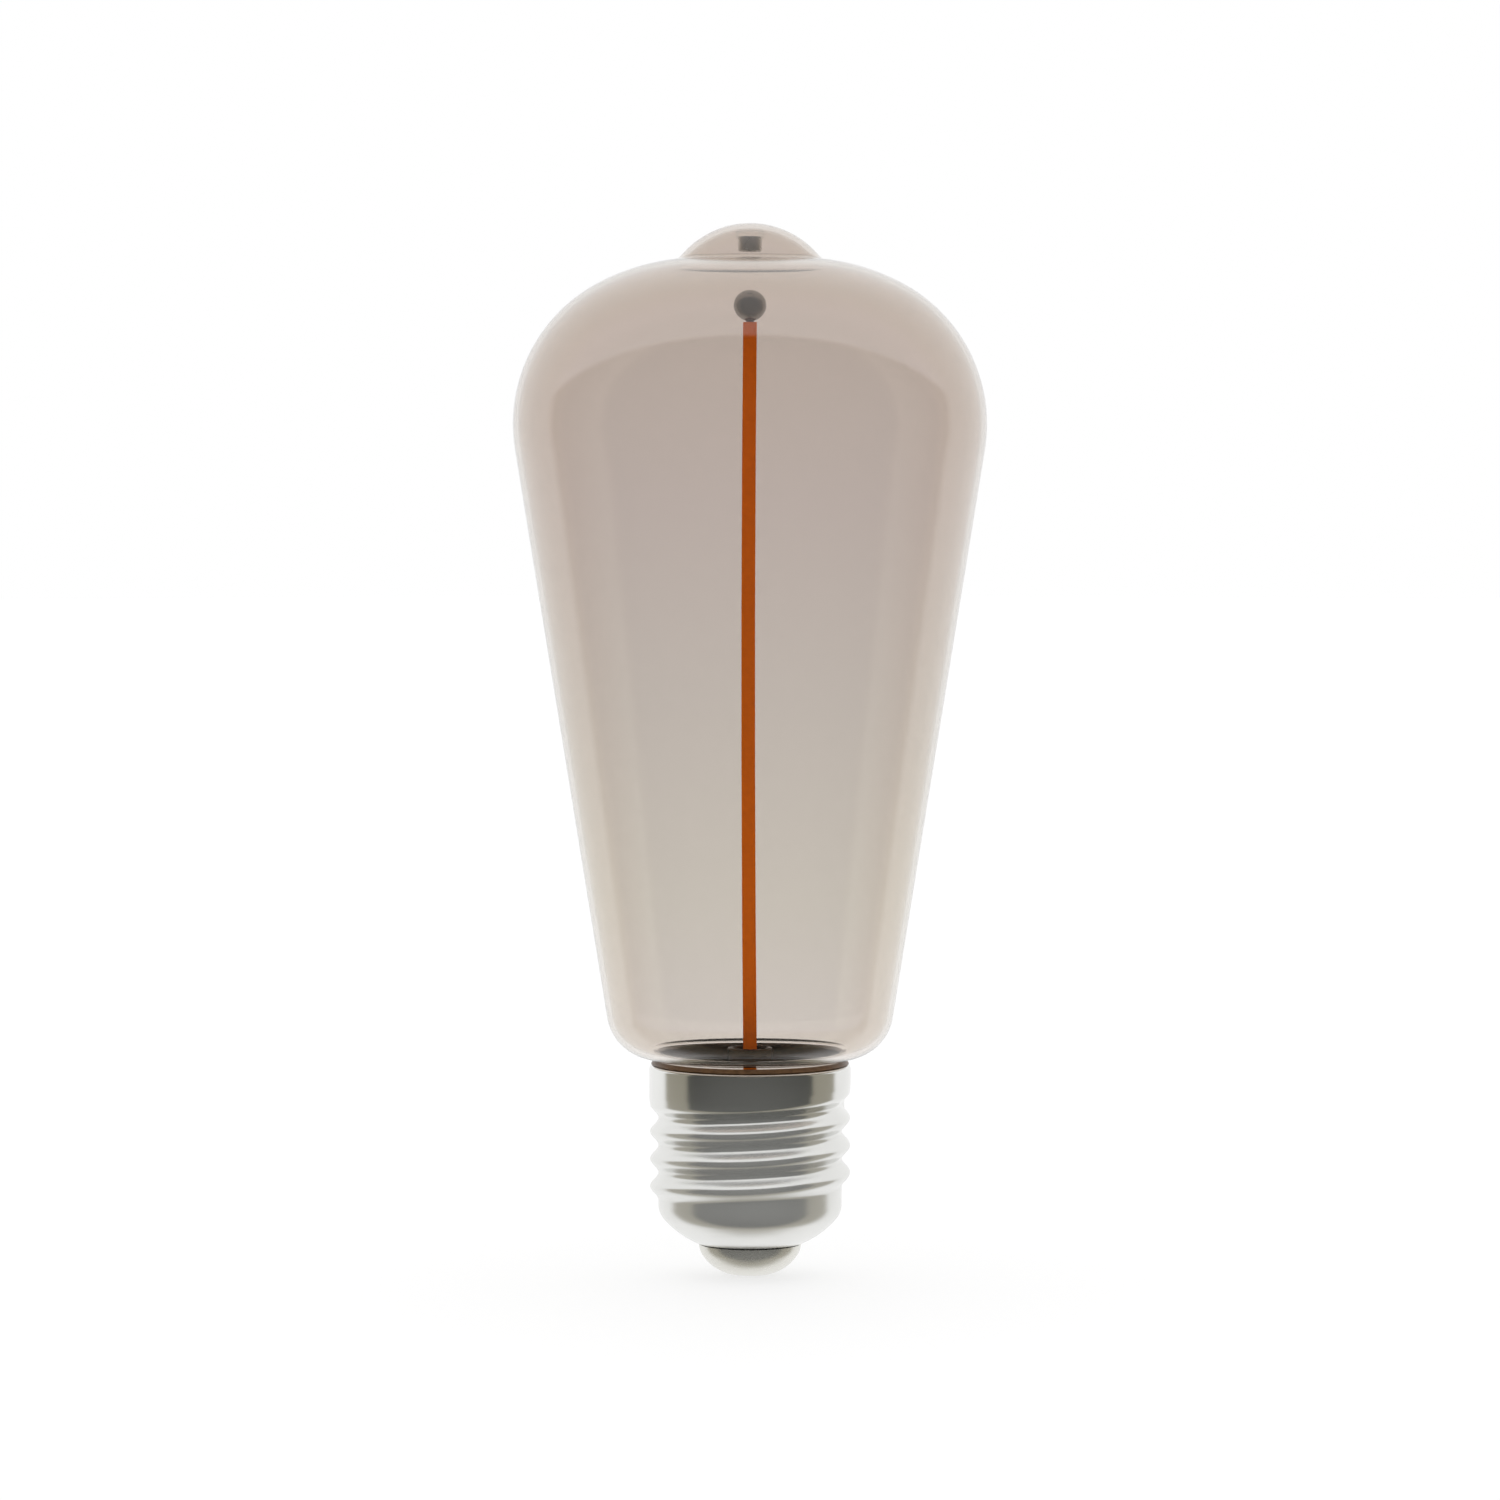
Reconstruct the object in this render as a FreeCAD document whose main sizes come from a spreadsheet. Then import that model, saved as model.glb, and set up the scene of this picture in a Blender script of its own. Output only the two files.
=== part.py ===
import FreeCAD, Part
import math
import os
import Sketcher

# Pear-shaped screw-cap light bulb: smoky glass, a ribbon filament pulled
# straight by a magnet in the crown, and the driver inside the cap.
# Millimetres, +Z up through the crown, the ribbon's broad face towards -Y.

DIMENSIONS = [
    # glass envelope
    ("glass_top_z", 138.5),
    ("glass_wall", 0.7),
    ("crown_r", 11.8),
    ("crown_fillet_r", 1.6),
    ("crown_fillet_x", 10.2),
    ("shoulder_r", 28.4),
    ("side_r", 20.9),
    ("belly_r", 31.1),
    ("belly_z", 112.2),
    ("cone_angle", 9.1),
    ("heel_r", 6.3),
    ("neck_fillet_r", 0.85),
    ("neck_fillet_z", 27.95),
    ("neck_r", 12.4),
    ("neck_low_z", 23.2),
    # glass stem and exhaust tube
    ("seal_gap", 0.02),
    ("flare_rim", 0.8),
    ("flare_foot_r", 5.0),
    ("flare_rise", 0.7),
    ("flare_wall", 0.6),
    ("flare_lip", 1.0),
    ("press_play", 1.5),
    ("press_low_z", 25.2),
    ("press_top_z", 26.7),
    ("press_low_r", 2.5),
    ("guide_r", 3.0),
    ("guide_bore_r", 2.3),
    ("guide_top_z", 29.65),
    ("guide_round_r", 0.35),
    ("exhaust_r", 1.4),
    ("exhaust_bore_r", 0.7),
    ("exhaust_tip_z", 20.4),
    # lead wires, hooked through the ribbon's foot
    ("lead_r", 0.25),
    ("lead_x", 1.9),
    ("lead_bend_r", 0.6),
    ("lead_end_x", 0.72),
    ("pivot_z", 27.7),
    ("pivot_play", 0.05),
    # magnet, its adhesive, and the ball it pulls
    ("magnet_r", 1.55),
    ("magnet_length", 2.0),
    ("magnet_top_z", 136.65),
    ("magnet_edge", 0.2),
    ("glue_r", 1.9),
    ("ball_r", 2.15),
    ("ball_z", 127.96),
    # ribbon filament
    ("strip_width", 1.3),
    ("strip_thick", 0.2),
    ("strip_low_z", 27.15),
    ("strip_top_z", 124.6),
    ("ribbon_width", 1.8),
    ("ribbon_low_z", 28.9),
    ("ribbon_top_z", 125.7),
    ("coat_thick", 0.4),
    ("coat_round_r", 0.2),
    ("ribbon_bow", 0.24),
    ("chip_width", 0.5),
    ("chip_length", 1.1),
    ("chip_height", 0.22),
    ("chip_pitch", 2.0),
    ("chip_count", 46),
    ("chip_first_z", 32.4),
    ("tab_width", 1.0),
    ("tab_top_z", 127.2),
    ("tab_play", 0.05),
    ("slot_depth", 1.6),
    ("terminal_thick", 0.49),
    ("terminal_depth", 1.0),
    ("terminal_half", 0.55),
    # screw cap
    ("shell_wall", 0.3),
    ("crest_r", 13.21),
    ("thread_depth", 1.1),
    ("thread_pitch", 3.629),
    ("thread_phase_z", 17.2),
    ("thread_foot", 0.04),
    ("thread_turns", 4.9),
    ("groove_turns", 1.9),
    ("fade_low_z", 10.1),
    ("fade_top_z", 11.5),
    ("lip_r", 7.15),
    ("lip_z", 4.32),
    ("cap_bend_r", 2.8),
    ("cap_bend_z", 9.3),
    ("cap_base_r", 12.0),
    ("skirt_r", 13.3),
    ("skirt_foot_z", 22.4),
    ("skirt_low_z", 23.1),
    ("rim_z", 28.0),
    ("rim_curl_r", 0.7),
    # insulator and centre contact
    ("contact_flat_r", 1.5),
    ("contact_r", 6.75),
    ("contact_height", 4.1),
    ("contact_side_r", 2.6),
    ("contact_wall", 0.5),
    ("shank_r", 1.5),
    ("shank_top_z", 8.6),
    ("insulator_top_r", 10.2),
    ("insulator_top_z", 8.0),
    # sleeve and driver board
    ("sleeve_r", 11.7),
    ("sleeve_wall", 0.6),
    ("sleeve_taper_r", 10.9),
    ("sleeve_taper_z", 9.5),
    ("sleeve_top_z", 19.5),
    ("sleeve_ledge_r", 9.4),
    ("board_r", 10.9),
    ("board_low_z", 12.0),
    ("board_thick", 1.0),
    ("cement_low_z", 24.2),
    ("cement_top_z", 27.25),
    ("bead_r", 13.05),
    ("bead_high_r", 12.7),
    # parts on the driver board
    ("capacitor_r", 3.15),
    ("capacitor_length", 8.5),
    ("capacitor_x", -6.2),
    ("crimp_low", 1.0),
    ("crimp_depth", 0.3),
    ("crimp_height", 0.9),
    ("can_edge", 0.4),
    ("vent_r", 1.2),
    ("vent_depth", 0.2),
    ("inductor_r", 2.6),
    ("inductor_length", 5.5),
    ("inductor_flange", 0.8),
    ("winding_depth", 0.4),
    ("inductor_x", 6.0),
    ("inductor_y", 3.4),
    ("chip_body_x", 4.9),
    ("chip_body_y", 3.9),
    ("chip_body_z", 1.4),
    ("driver_ic_x", 5.8),
    ("driver_ic_y", -4.5),
    ("bridge_x", -4.5),
    ("bridge_y", 2.5),
    ("bridge_z", 2.2),
    ("pin_reach", 0.8),
    ("pin_width", 0.4),
    ("pin_thick", 0.2),
    ("pin_pitch", 1.27),
    ("resistor_r", 1.2),
    ("resistor_length", 6.5),
    ("end_cap_length", 1.0),
    ("end_cap_rise", 0.1),
    ("resistor_x", 1.0),
    ("resistor_y", -5.2),
    ("radio_width", 9.0),
    ("radio_height", 7.2),
    ("radio_thick", 0.8),
    ("radio_x", -2.0),
    ("radio_y", -6.9),
    ("aerial_rows", 4),
    ("aerial_pitch", 0.4),
    ("aerial_step", 0.5),
    ("aerial_length", 6.0),
    ("aerial_depth", 0.05),
    ("aerial_width", 0.2),
    ("aerial_drop", 1.9),
    ("shield_width", 5.8),
    ("shield_height", 4.4),
    ("shield_depth", 1.4),
    ("shield_foot", 1.2),
    ("shield_wall", 0.2),
    ("feed_r", 0.4),
    ("neutral_x", 9.9),
    ("neutral_rise", 0.7),
]


class Size:
    """A length with its value now and the spreadsheet expression that drives it."""

    def __init__(self, value, text):
        self.value = float(value)
        self.text = text

    def __add__(self, other):
        other = as_size(other)
        return Size(self.value + other.value, f"({self.text} + {other.text})")

    def __sub__(self, other):
        other = as_size(other)
        return Size(self.value - other.value, f"({self.text} - {other.text})")

    def __mul__(self, other):
        other = as_size(other)
        return Size(self.value * other.value, f"({self.text} * {other.text})")

    def __truediv__(self, other):
        other = as_size(other)
        return Size(self.value / other.value, f"({self.text} / {other.text})")

    def __rsub__(self, other):
        return as_size(other) - self

    def __neg__(self):
        return Size(-self.value, f"(0 - {self.text})")

    def root(self):
        return Size(math.sqrt(self.value), f"sqrt({self.text})")


def as_size(number):
    return number if isinstance(number, Size) else Size(number, repr(float(number)))


class Arc:
    """Marks a profile corner whose next edge is an arc; bulge is +1 left of travel, -1 right."""

    def __init__(self, radius, bulge):
        self.radius = as_size(radius)
        self.bulge = bulge


def make_sheet(doc):
    sheet = doc.addObject("Spreadsheet::Sheet", "Sizes")
    sizes = {}
    for row, (name, value) in enumerate(DIMENSIONS, start=1):
        sheet.set(f"A{row}", name)
        sheet.set(f"B{row}", str(value))
        sheet.setAlias(f"B{row}", name)
        sizes[name] = Size(value, f"Sizes.{name}")
    doc.recompute()
    return sizes


doc = FreeCAD.newDocument("light_bulb")
S = make_sheet(doc)
nodes = []


# ---------------------------------------------------------------- helpers

def vector(x, y, z=0.0):
    return FreeCAD.Vector(x, y, z)


def new_body(name):
    body = doc.addObject("PartDesign::Body", name)
    body.Label = name
    return body


def keep(node):
    nodes.append(node)
    return node


def origin_plane(body, role):
    return [feature for feature in body.Origin.OriginFeatures if feature.Role == role][0]


def new_sketch(body, name, role="XZ_Plane", offset=None):
    sketch = body.newObject("Sketcher::SketchObject", name)
    sketch.AttachmentSupport = (origin_plane(body, role), [""])
    sketch.MapMode = "FlatFace"
    if offset is not None:
        sketch.AttachmentOffset = FreeCAD.Placement(vector(0, 0, offset.value), FreeCAD.Rotation())
        sketch.setExpression("AttachmentOffset.Base.z", offset.text)
    return sketch


def drive(sketch, kind, *place, size):
    """Add one driven dimension to a sketch."""
    index = sketch.addConstraint(Sketcher.Constraint(kind, *place, size.value))
    sketch.setExpression(f"Constraints[{index}]", size.text)


def arc_between(start, end, radius, bulge):
    """Anticlockwise arc through two points, and whether it runs from start to end."""
    chord_x, chord_y = end[0] - start[0], end[1] - start[1]
    half = math.hypot(chord_x, chord_y) / 2
    rise = math.sqrt(max(radius * radius - half * half, 0.0))
    # the centre lies on the side away from the bulge
    left_x, left_y = -chord_y / (2 * half), chord_x / (2 * half)
    centre_x = (start[0] + end[0]) / 2 - bulge * rise * left_x
    centre_y = (start[1] + end[1]) / 2 - bulge * rise * left_y
    first = math.atan2(start[1] - centre_y, start[0] - centre_x)
    last = math.atan2(end[1] - centre_y, end[0] - centre_x)
    forward = bulge < 0
    if not forward:
        first, last = last, first
    if last < first:
        last += 2 * math.pi
    circle = Part.Circle(vector(centre_x, centre_y), vector(0, 0, 1), radius)
    return Part.ArcOfCircle(circle, first, last), forward


def draw_profile(sketch, corners, closed=True):
    """Chain of lines and arcs; every corner is a pair of sizes, each arc follows its corner."""
    points = [item for item in corners if not isinstance(item, Arc)]
    arcs = {}
    count = 0
    for item in corners:
        if isinstance(item, Arc):
            arcs[count - 1] = item
        else:
            count += 1
    edges = len(points) if closed else len(points) - 1
    ends = []
    for index in range(edges):
        start = [as_size(value).value for value in points[index]]
        end = [as_size(value).value for value in points[(index + 1) % len(points)]]
        if index in arcs:
            arc = arcs[index]
            shape, forward = arc_between(start, end, arc.radius.value, arc.bulge)
            sketch.addGeometry(shape)
            ends.append((1, 2) if forward else (2, 1))
        else:
            sketch.addGeometry(Part.LineSegment(vector(*start), vector(*end)))
            ends.append((1, 2))
    for index in range(edges):
        if closed or index + 1 < edges:
            after = (index + 1) % edges
            sketch.addConstraint(Sketcher.Constraint(
                "Coincident", index, ends[index][1], after, ends[after][0]))
    for index, point in enumerate(points):
        edge, place = (index, ends[index][0]) if index < edges else (index - 1, ends[index - 1][1])
        drive(sketch, "DistanceX", edge, place, size=as_size(point[0]))
        drive(sketch, "DistanceY", edge, place, size=as_size(point[1]))
    for index, arc in arcs.items():
        drive(sketch, "Radius", index, size=arc.radius)


def draw_circle(sketch, x, y, radius):
    x, y = as_size(x), as_size(y)
    index = sketch.addGeometry(Part.Circle(vector(x.value, y.value), vector(0, 0, 1), radius.value))
    drive(sketch, "DistanceX", index, 3, size=x)
    drive(sketch, "DistanceY", index, 3, size=y)
    drive(sketch, "Radius", index, size=radius)


def rectangle(low_x, high_x, low_y, high_y):
    return [(low_x, low_y), (high_x, low_y), (high_x, high_y), (low_x, high_y)]


def turn(body, kind, sketch):
    """Revolve or groove a profile a full turn about the bulb's axis."""
    feature = body.newObject(f"PartDesign::{kind}", f"{sketch.Name}_{kind.lower()}")
    feature.Profile = sketch
    feature.ReferenceAxis = (sketch, ["V_Axis"])
    feature.Angle = 360
    return feature


def turned_body(name, corners):
    body = new_body(name)
    sketch = new_sketch(body, f"{name}_profile")
    draw_profile(sketch, corners)
    turn(body, "Revolution", sketch)
    return body


def extrude(body, kind, sketch, length, midplane=False, reversed_side=False):
    feature = body.newObject(f"PartDesign::{kind}", f"{sketch.Name}_{kind.lower()}")
    feature.Profile = sketch
    feature.Type = "Length"
    feature.Length = length.value
    feature.setExpression("Length", length.text)
    feature.SideType = "Symmetric" if midplane else "One side"
    feature.Reversed = reversed_side
    return feature


def swept_wire(name, corners, radius, start):
    """Round wire along a path in the XZ plane that leaves its start point upwards."""
    body = new_body(name)
    path = new_sketch(body, f"{name}_path")
    draw_profile(path, corners, closed=False)
    section = new_sketch(body, f"{name}_section", "XY_Plane", as_size(start[1]))
    draw_circle(section, start[0], 0, radius)
    pipe = body.newObject("PartDesign::AdditivePipe", f"{name}_pipe")
    pipe.Profile = section
    pipe.Spine = path
    return keep(body)


def box(name, low, size):
    """Plain block from its low corner and its three sizes."""
    block = doc.addObject("Part::Box", name)
    for prop, value in zip(("Length", "Width", "Height"), size):
        block.setExpression(prop, as_size(value).text)
    for axis, value in zip("xyz", low):
        block.setExpression(f"Placement.Base.{axis}", as_size(value).text)
    return block


def joined(name, shapes):
    union = doc.addObject("Part::MultiFuse", name)
    union.Label = name
    union.Shapes = shapes
    return keep(union)


# ---------------------------------------------------------------- glass

def envelope_outline(sketch, inset, low_z):
    """The glass outline in tangent arcs; inset moves it inwards by the wall."""
    convex, concave = -inset.value, inset.value
    crown = (0.0, S["glass_top_z"].value - S["crown_r"].value)
    centres = [crown, (10.2, 135.3), (6.6, 105.6), (10.2, 112.2), (12.6, 35.1), (13.25, 27.95)]
    radii = [
        S["crown_r"].value + convex,
        S["crown_fillet_r"].value + concave,
        S["shoulder_r"].value + convex,
        S["side_r"].value + convex,
        S["heel_r"].value + convex,
        S["neck_fillet_r"].value + concave,
    ]
    # start and end directions in degrees; like the centres, only a start for the tangency
    spans = [(40, 90), (220, 263), (62, 83), (-9, 62), (-85, -9), (95, 180)]
    shapes = []
    for centre, radius, span in zip(centres, radii, spans):
        circle = Part.Circle(vector(*centre), vector(0, 0, 1), radius)
        shapes.append(Part.ArcOfCircle(circle, math.radians(span[0]), math.radians(span[1])))
    neck = S["neck_r"].value + convex
    cone_top = shapes[3].StartPoint
    cone_low = shapes[4].EndPoint
    shapes.insert(4, Part.LineSegment(cone_top, cone_low))
    shapes.append(Part.LineSegment(shapes[6].EndPoint, vector(neck, low_z.value)))
    shapes.append(Part.LineSegment(vector(neck, low_z.value), vector(0, low_z.value)))
    shapes.append(Part.LineSegment(vector(0, low_z.value), vector(0, S["glass_top_z"].value + convex)))
    sketch.addGeometry(shapes)

    start, end, centre, axis = 1, 2, 3, -2
    crown_arc, crown_fillet, shoulder, side, cone, heel, neck_fillet, neck_line, floor, spine = range(10)
    constraints = [
        ("Tangent", crown_arc, start, crown_fillet, start),
        ("Tangent", crown_fillet, end, shoulder, end),
        ("Tangent", shoulder, start, side, end),
        ("Tangent", side, start, cone, start),
        ("Tangent", cone, end, heel, end),
        ("Tangent", heel, start, neck_fillet, start),
        ("Tangent", neck_fillet, end, neck_line, start),
        ("Coincident", neck_line, end, floor, start),
        ("Coincident", floor, end, spine, start),
        ("Coincident", spine, end, crown_arc, end),
        ("PointOnObject", crown_arc, centre, axis),
        ("PointOnObject", crown_arc, end, axis),
        ("PointOnObject", floor, end, axis),
        ("Vertical", neck_line),
        ("Horizontal", floor),
    ]
    for constraint in constraints:
        sketch.addConstraint(Sketcher.Constraint(*constraint))
    drive(sketch, "DistanceY", crown_arc, end, size=S["glass_top_z"] - inset)
    drive(sketch, "Radius", crown_arc, size=S["crown_r"] - inset)
    drive(sketch, "Radius", crown_fillet, size=S["crown_fillet_r"] + inset)
    drive(sketch, "DistanceX", crown_fillet, centre, size=S["crown_fillet_x"])
    drive(sketch, "Radius", shoulder, size=S["shoulder_r"] - inset)
    drive(sketch, "Radius", side, size=S["side_r"] - inset)
    drive(sketch, "DistanceX", side, centre, size=S["belly_r"] - S["side_r"])
    drive(sketch, "DistanceY", side, centre, size=S["belly_z"])
    drive(sketch, "Radius", heel, size=S["heel_r"] - inset)
    drive(sketch, "Radius", neck_fillet, size=S["neck_fillet_r"] + inset)
    drive(sketch, "DistanceY", neck_fillet, centre, size=S["neck_fillet_z"])
    drive(sketch, "DistanceX", neck_line, end, size=S["neck_r"] - inset)
    drive(sketch, "DistanceY", neck_line, end, size=low_z)
    lean = math.radians(-90 - S["cone_angle"].value)
    index = sketch.addConstraint(Sketcher.Constraint("Angle", cone, lean))
    sketch.setExpression(f"Constraints[{index}]", "(-90 - Sizes.cone_angle) * 1deg")


def glass_envelope():
    body = new_body("glass_envelope")
    outside = new_sketch(body, "envelope_outside")
    envelope_outline(outside, as_size(0), S["neck_low_z"])
    turn(body, "Revolution", outside)
    inside = new_sketch(body, "envelope_inside")
    envelope_outline(inside, S["glass_wall"], S["neck_low_z"] - 1)
    turn(body, "Groove", inside)
    return keep(body)


def glass_stem():
    """Flare sealed in the neck, the press that holds the leads, and the guide collar."""
    rim_r = S["neck_r"] - S["glass_wall"] - S["seal_gap"]
    low = S["neck_low_z"]
    rim_top = low + S["flare_rim"]
    sweep = S["flare_foot_r"] - S["guide_r"]
    shoulder_z = rim_top + S["flare_rise"]
    collar_z = S["guide_top_z"] - S["guide_round_r"]
    collar_mid = S["guide_r"] - S["guide_round_r"]
    under_r = S["flare_foot_r"] - S["flare_wall"]
    body = turned_body("glass_stem", [
        (rim_r - S["flare_lip"], low),
        (rim_r, low),
        (rim_r, rim_top),
        (S["flare_foot_r"], shoulder_z), Arc(sweep, 1),
        (S["guide_r"], shoulder_z + sweep),
        (S["guide_r"], collar_z), Arc(S["guide_round_r"], -1),
        (collar_mid, S["guide_top_z"]), Arc(S["guide_round_r"], -1),
        (S["guide_bore_r"], collar_z),
        (S["guide_bore_r"], S["press_top_z"]),
        (0, S["press_top_z"]),
        (0, S["press_low_z"]),
        (S["press_low_r"], S["press_low_z"]), Arc(under_r - S["press_low_r"], -1),
        (under_r, S["press_low_z"] - under_r + S["press_low_r"]),
    ])
    holes = new_sketch(body, "press_holes", "XY_Plane", S["press_low_z"] - S["press_play"])
    draw_circle(holes, S["lead_x"], 0, S["lead_r"] + S["seal_gap"])
    draw_circle(holes, -S["lead_x"], 0, S["lead_r"] + S["seal_gap"])
    draw_circle(holes, 0, 0, S["exhaust_bore_r"])
    depth = S["press_top_z"] - S["press_low_z"] + S["press_play"] * 2
    extrude(body, "Pocket", holes, depth, reversed_side=True)
    return keep(body)


def exhaust_tube():
    """Pumping tube under the press, drawn down to a sealed round tip."""
    tip = S["exhaust_tip_z"] + S["exhaust_r"]
    return keep(turned_body("exhaust_tube", [
        (0, S["exhaust_tip_z"]), Arc(S["exhaust_r"], -1),
        (S["exhaust_r"], tip),
        (S["exhaust_r"], S["press_low_z"]),
        (S["exhaust_bore_r"], S["press_low_z"]),
        (S["exhaust_bore_r"], tip), Arc(S["exhaust_bore_r"], 1),
        (0, tip - S["exhaust_bore_r"]),
    ]))


def lead_wire(name, side):
    """Wire from the board through the press, hooked into the ribbon's foot terminal."""
    low = S["board_low_z"] + S["board_thick"] + S["seal_gap"]
    bend_x = S["lead_x"] - S["lead_bend_r"]
    bend_z = S["pivot_z"] - S["lead_bend_r"]
    return swept_wire(name, [
        (S["lead_x"] * side, low),
        (S["lead_x"] * side, bend_z), Arc(S["lead_bend_r"], -side),
        (bend_x * side, S["pivot_z"]),
        (S["lead_end_x"] * side, S["pivot_z"]),
    ], S["lead_r"], (S["lead_x"] * side, low))


# ---------------------------------------------------------------- magnet

def magnet():
    body = turned_body("magnet", [
        (0, S["magnet_top_z"] - S["magnet_length"]),
        (S["magnet_r"] - S["magnet_edge"], S["magnet_top_z"] - S["magnet_length"]),
        (S["magnet_r"], S["magnet_top_z"] - S["magnet_length"] + S["magnet_edge"]),
        (S["magnet_r"], S["magnet_top_z"]),
        (0, S["magnet_top_z"]),
    ])
    return keep(body)


def magnet_adhesive():
    """Clear blob between the magnet's top and the inside of the crown."""
    inner_r = S["crown_r"] - S["glass_wall"] - S["seal_gap"]
    centre_z = S["glass_top_z"] - S["crown_r"]
    edge_z = centre_z + (inner_r * inner_r - S["glue_r"] * S["glue_r"]).root()
    return keep(turned_body("magnet_adhesive", [
        (0, S["magnet_top_z"]),
        (S["glue_r"], S["magnet_top_z"]),
        (S["glue_r"], edge_z), Arc(inner_r, -1),
        (0, centre_z + inner_r),
    ]))


# ---------------------------------------------------------------- ribbon filament

def bowed_outline(width, low_z, top_z):
    """Long upright strip whose two edges bow slightly towards -X."""
    half = width / 2
    length = top_z - low_z
    bow = S["ribbon_bow"]
    radius = length * length / (bow * 8) + bow / 2
    return [
        (half, low_z), Arc(radius, 1),
        (half, top_z),
        (-half, top_z), Arc(radius, -1),
        (-half, low_z),
    ]


def filament_strip():
    body = new_body("filament_strip")
    outline = new_sketch(body, "strip_outline")
    draw_profile(outline, bowed_outline(S["strip_width"], S["strip_low_z"], S["strip_top_z"]))
    extrude(body, "Pad", outline, S["strip_thick"], midplane=True)
    return keep(body)


def chip_outline():
    half = S["chip_width"] / 2
    return rectangle(-half, half, S["chip_first_z"], S["chip_first_z"] + S["chip_length"])


def chip_row(body, feature, sketch):
    """Repeat one chip, or one chip pocket, up the ribbon."""
    row = body.newObject("PartDesign::LinearPattern", f"{body.Name}_row")
    row.Originals = [feature]
    row.Direction = (sketch, ["V_Axis"])
    row.Length = (S["chip_pitch"] * (S["chip_count"] - 1)).value
    row.Occurrences = int(S["chip_count"].value)
    row.setExpression("Length", (S["chip_pitch"] * (S["chip_count"] - 1)).text)
    row.setExpression("Occurrences", S["chip_count"].text)
    body.Tip = row
    return row


def led_chips():
    body = new_body("led_chips")
    body.AllowCompound = True
    outline = new_sketch(body, "chip_outline", offset=S["strip_thick"] / 2)
    draw_profile(outline, chip_outline())
    first = extrude(body, "Pad", outline, S["chip_height"])
    chip_row(body, first, outline)
    return keep(body)


def rounded_coat(name, side):
    """Silicone and phosphor layer on one face of the strip; side is +1 in front."""
    body = new_body(name)
    offset = S["strip_thick"] / 2 if side > 0 else -S["strip_thick"] / 2
    outline = new_sketch(body, f"{name}_outline", offset=offset)
    draw_profile(outline, bowed_outline(S["ribbon_width"], S["ribbon_low_z"], S["ribbon_top_z"]))
    pad = extrude(body, "Pad", outline, S["coat_thick"], reversed_side=side < 0)
    doc.recompute()
    outer_y = -side * (S["strip_thick"].value / 2 + S["coat_thick"].value)
    long_edges = [
        f"Edge{index}" for index, edge in enumerate(pad.Shape.Edges, start=1)
        if edge.Length > S["ribbon_width"].value * 2
        and all(abs(vertex.Point.y - outer_y) < 0.01 for vertex in edge.Vertexes)
    ]
    rounding = body.newObject("PartDesign::Fillet", f"{name}_rounding")
    rounding.Base = (pad, long_edges)
    rounding.Radius = S["coat_round_r"].value
    rounding.setExpression("Radius", S["coat_round_r"].text)
    return body


def phosphor_front():
    body = rounded_coat("phosphor_front", 1)
    outline = new_sketch(body, "chip_pocket_outline", offset=S["strip_thick"] / 2)
    draw_profile(outline, chip_outline())
    pocket = extrude(body, "Pocket", outline, S["chip_height"], reversed_side=True)
    chip_row(body, pocket, outline)
    return keep(body)


def phosphor_back():
    return keep(rounded_coat("phosphor_back", -1))


def foot_terminal(name, side):
    """Nickel eye soldered to the edge of the strip's foot; the lead hook is its pivot."""
    body = new_body(name)
    near = (S["strip_width"] / 2 + S["seal_gap"]) * side
    far = (S["strip_width"] / 2 + S["terminal_thick"]) * side
    low_x, high_x = (near, far) if side > 0 else (far, near)
    outline = new_sketch(body, f"{name}_outline")
    draw_profile(outline, rectangle(
        low_x, high_x, S["pivot_z"] - S["terminal_half"], S["pivot_z"] + S["terminal_half"]))
    extrude(body, "Pad", outline, S["terminal_depth"], midplane=True)
    eye = new_sketch(body, f"{name}_eye", "YZ_Plane")
    draw_circle(eye, 0, S["pivot_z"], S["lead_r"] + S["pivot_play"])
    extrude(body, "Pocket", eye, S["strip_width"] + S["terminal_thick"] * 4, midplane=True)
    return keep(body)


def top_tab():
    """Steel tab between the ribbon's two coats and the slot in the ball."""
    body = new_body("top_tab")
    half = S["tab_width"] / 2
    outline = new_sketch(body, "tab_outline")
    draw_profile(outline, rectangle(-half, half, S["strip_top_z"], S["tab_top_z"]))
    extrude(body, "Pad", outline, S["strip_thick"], midplane=True)
    return keep(body)


def filament_ball():
    low_z = S["ball_z"] - S["ball_r"]
    body = turned_body("filament_ball", [
        (0, low_z), Arc(S["ball_r"], -1),
        (S["ball_r"], S["ball_z"]), Arc(S["ball_r"], -1),
        (0, S["ball_z"] + S["ball_r"]),
    ])
    half = S["tab_width"] / 2 + S["tab_play"]
    slot = new_sketch(body, "ball_slot")
    draw_profile(slot, rectangle(-half, half, low_z - 1, low_z + S["slot_depth"]))
    extrude(body, "Pocket", slot, S["strip_thick"] + S["tab_play"] * 2, midplane=True)
    return keep(body)


# ---------------------------------------------------------------- screw cap

def cap_base():
    """Centres of the bend and of the wide arc under it, tangent to each other."""
    bend, wide = S["cap_bend_r"], S["cap_base_r"]
    bend_x = S["crest_r"] - S["thread_depth"] - bend
    bend_z = S["cap_bend_z"]
    # the wide arc ends at the lip and touches the bend from outside
    to_lip_x, to_lip_z = S["lip_r"] - bend_x, S["lip_z"] - bend_z
    apart = (to_lip_x * to_lip_x + to_lip_z * to_lip_z).root()
    between = wide - bend
    along = (between * between - wide * wide + apart * apart) / (apart * 2)
    across = (between * between - along * along).root()
    wide_x = bend_x + (to_lip_x * along + to_lip_z * across) / apart
    wide_z = bend_z + (to_lip_z * along - to_lip_x * across) / apart
    return (bend_x, bend_z), (wide_x, wide_z)


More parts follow.
